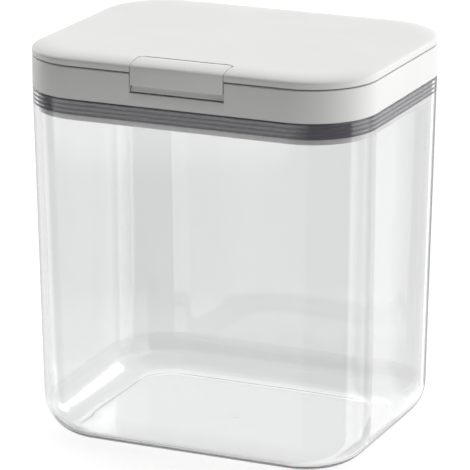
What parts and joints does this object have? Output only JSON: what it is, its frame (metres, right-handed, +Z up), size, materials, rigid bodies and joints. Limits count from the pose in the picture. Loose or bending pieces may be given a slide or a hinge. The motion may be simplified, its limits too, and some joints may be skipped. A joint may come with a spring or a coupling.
{
  "type": "lidded glass canister",
  "caption": "Clear rounded-rectangle food canister with a lift-off white lid, a ribbed mouth gasket and a hinged flap held by a front latch.",
  "frame": {"origin": "centre of the container's flat base, on the surface it stands on", "axes": "+X to the right seen from the latch side, -Y towards the latch, +Z up"},
  "size_m": [0.15, 0.119, 0.1685],
  "materials": {
    "clear_plastic": "clear, polished",
    "white_plastic": "satin",
    "grey_silicone": "translucent, smooth",
    "pin_steel": "drawn"
  },
  "bodies": {
    "jar": {"container": "clear_plastic"},
    "lid": {"lid_frame": "white_plastic", "plug_ring": "white_plastic", "rim_gasket": "grey_silicone", "hinge_pins": "pin_steel"},
    "flap": {"flap_cover": "white_plastic", "flap_liner": "white_plastic", "flap_seal": "grey_silicone", "latch_pin": "pin_steel"},
    "latch_lever": {"latch": "white_plastic"}
  },
  "joints": [
    {"name": "lid_lift", "type": "slide", "parent": "jar", "child": "lid", "axis": [0, 0, 1], "range_m": [0, 0.04]},
    {"name": "flap_hinge", "type": "hinge", "parent": "lid", "child": "flap", "pos_m": [0, 0.056, 0.1602], "axis": [-1, 0, 0], "range_deg": [0, 90]},
    {"name": "latch_pivot", "type": "hinge", "parent": "flap", "child": "latch_lever", "pos_m": [0, -0.0513, 0.1665], "axis": [-1, 0, 0], "range_deg": [0, 25]}
  ]
}
